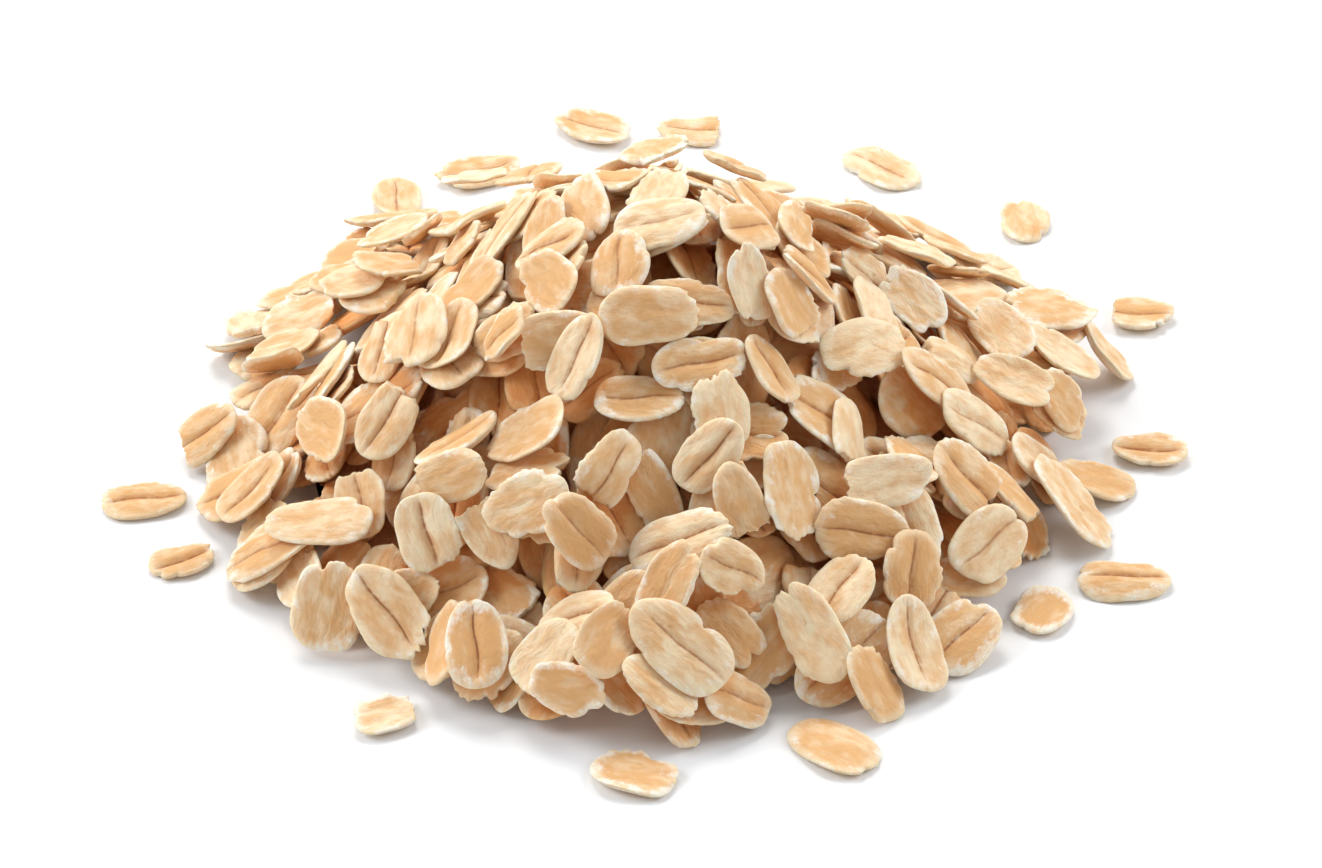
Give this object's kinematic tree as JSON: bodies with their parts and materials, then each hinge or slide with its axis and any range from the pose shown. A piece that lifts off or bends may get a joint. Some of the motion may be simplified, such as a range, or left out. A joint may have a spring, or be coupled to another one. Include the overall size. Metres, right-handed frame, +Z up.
{
  "type": "heap of rolled oats",
  "caption": "Loose heap of dry rolled oat flakes on a flat surface, creased and smooth ovals with ragged rims, and single flakes scattered round its foot.",
  "frame": {"origin": "on the surface the heap rests on, under its peak", "axes": "+Z up from the surface, -Y towards the side that faces the viewer in the picture, +X to that viewer's right"},
  "size_m": [0.1124, 0.1158, 0.0344],
  "materials": {
    "oat_heap": "dry, matt and slightly floury",
    "loose_flake_far_left": "dry, matt and slightly floury",
    "loose_flake_left_low": "dry, matt and slightly floury",
    "loose_flake_front_left": "dry, matt and slightly floury",
    "loose_flake_front": "dry, matt and slightly floury",
    "loose_flake_front_right": "dry, matt and slightly floury",
    "loose_flake_right_near": "dry, matt and slightly floury",
    "loose_flake_right_front": "dry, matt and slightly floury",
    "loose_flake_right_low": "dry, matt and slightly floury",
    "loose_flake_right": "dry, matt and slightly floury",
    "loose_flake_back_far_right": "dry, matt and slightly floury",
    "loose_flake_back_right": "dry, matt and slightly floury",
    "loose_flake_back": "dry, matt and slightly floury",
    "loose_flake_back_mid": "dry, matt and slightly floury",
    "loose_flake_back_left": "dry, matt and slightly floury",
    "loose_flake_back_far_left": "dry, matt and slightly floury"
  },
  "bodies": {
    "root": {"oat_heap": "oat_heap", "loose_flake_far_left": "loose_flake_far_left", "loose_flake_left_low": "loose_flake_left_low", "loose_flake_front_left": "loose_flake_front_left", "loose_flake_front": "loose_flake_front", "loose_flake_front_right": "loose_flake_front_right", "loose_flake_right_near": "loose_flake_right_near", "loose_flake_right_front": "loose_flake_right_front", "loose_flake_right_low": "loose_flake_right_low", "loose_flake_right": "loose_flake_right", "loose_flake_back_far_right": "loose_flake_back_far_right", "loose_flake_back_right": "loose_flake_back_right", "loose_flake_back": "loose_flake_back", "loose_flake_back_mid": "loose_flake_back_mid", "loose_flake_back_left": "loose_flake_back_left", "loose_flake_back_far_left": "loose_flake_back_far_left"}
  },
  "joints": []
}
